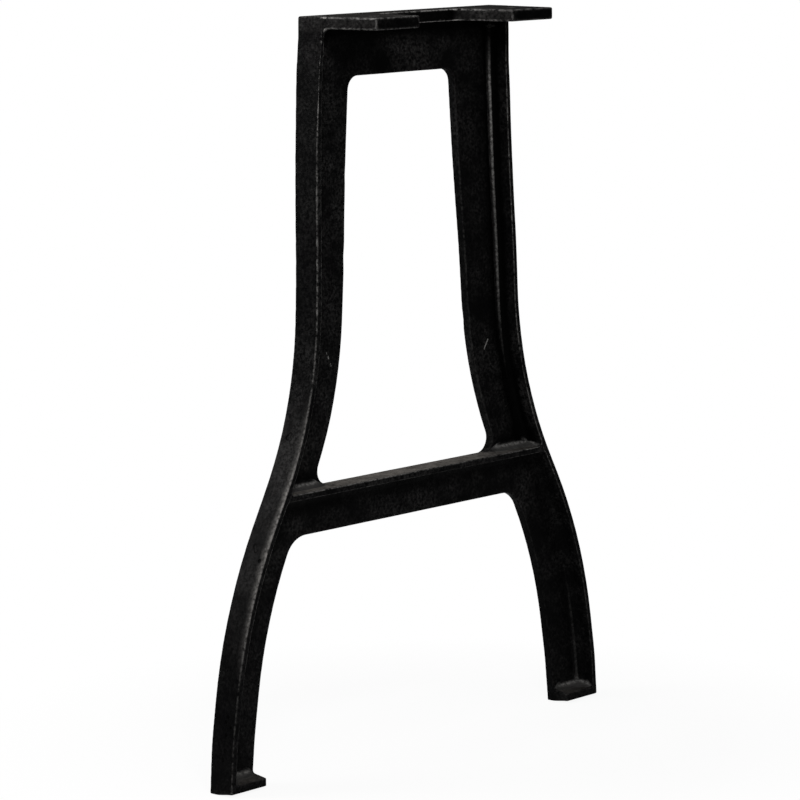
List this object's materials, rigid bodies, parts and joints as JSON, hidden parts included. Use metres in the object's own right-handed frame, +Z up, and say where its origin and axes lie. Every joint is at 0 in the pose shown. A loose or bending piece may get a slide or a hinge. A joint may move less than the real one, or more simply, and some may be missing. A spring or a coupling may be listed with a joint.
{
  "type": "table leg",
  "caption": "Cast-iron end leg for a table: splayed ribbed posts, a crossbar with a shelf, flat feet, and screw ears under a flat top plate.",
  "frame": {"origin": "on the floor, under the middle of the leg's box: halfway between the feet, and halfway between the flat back face and the ears' tips", "axes": "+X across the leg, +Z up; -Y is the side that the ribs and the ears face"},
  "size_m": [0.5398, 0.091, 0.72],
  "materials": {
    "leg_casting": "satin black on a fine sand-cast skin, worn a little at its edges"
  },
  "bodies": {
    "root": {"leg_casting": "leg_casting"}
  },
  "joints": []
}
